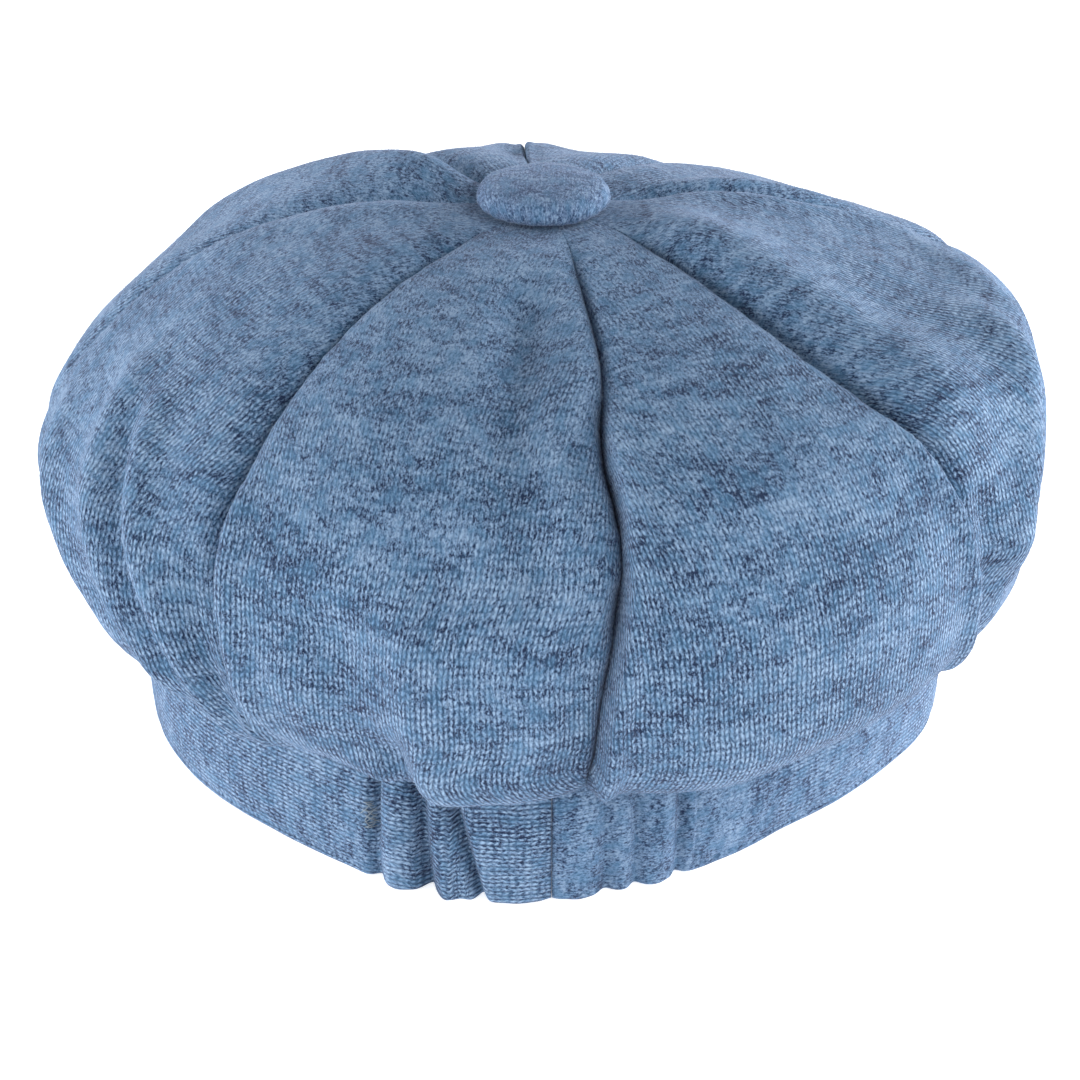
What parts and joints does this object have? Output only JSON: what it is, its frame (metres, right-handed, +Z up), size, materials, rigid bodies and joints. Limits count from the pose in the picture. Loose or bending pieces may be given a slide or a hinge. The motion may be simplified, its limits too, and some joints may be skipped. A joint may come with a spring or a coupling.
{
  "type": "cabbie hat",
  "caption": "Soft knitted cap with full panels meeting under a covered button, a headband gathered at the back and a short cloth-covered peak.",
  "frame": {"origin": "under the middle of the cap's box, on the surface that its rim stands on", "axes": "+Z up out of the crown, +Y forward over the peak, +X to the wearer's right"},
  "size_m": [0.228, 0.2552, 0.1319],
  "materials": {
    "panel_knit": "brushed blue melange knit, matt with a pale nap",
    "band_knit": "the same knit turned on its side, doubled and gathered",
    "peak_knit": "the same knit drawn over a stiff board",
    "button_knit": "the same knit drawn over a button form"
  },
  "bodies": {
    "root": {"panel_back": "panel_knit", "panel_back_right": "panel_knit", "panel_right": "panel_knit", "panel_front_right": "panel_knit", "panel_front": "panel_knit", "panel_front_left": "panel_knit", "panel_left": "panel_knit", "panel_back_left": "panel_knit", "headband": "band_knit", "peak": "peak_knit", "top_button": "button_knit"}
  },
  "joints": []
}
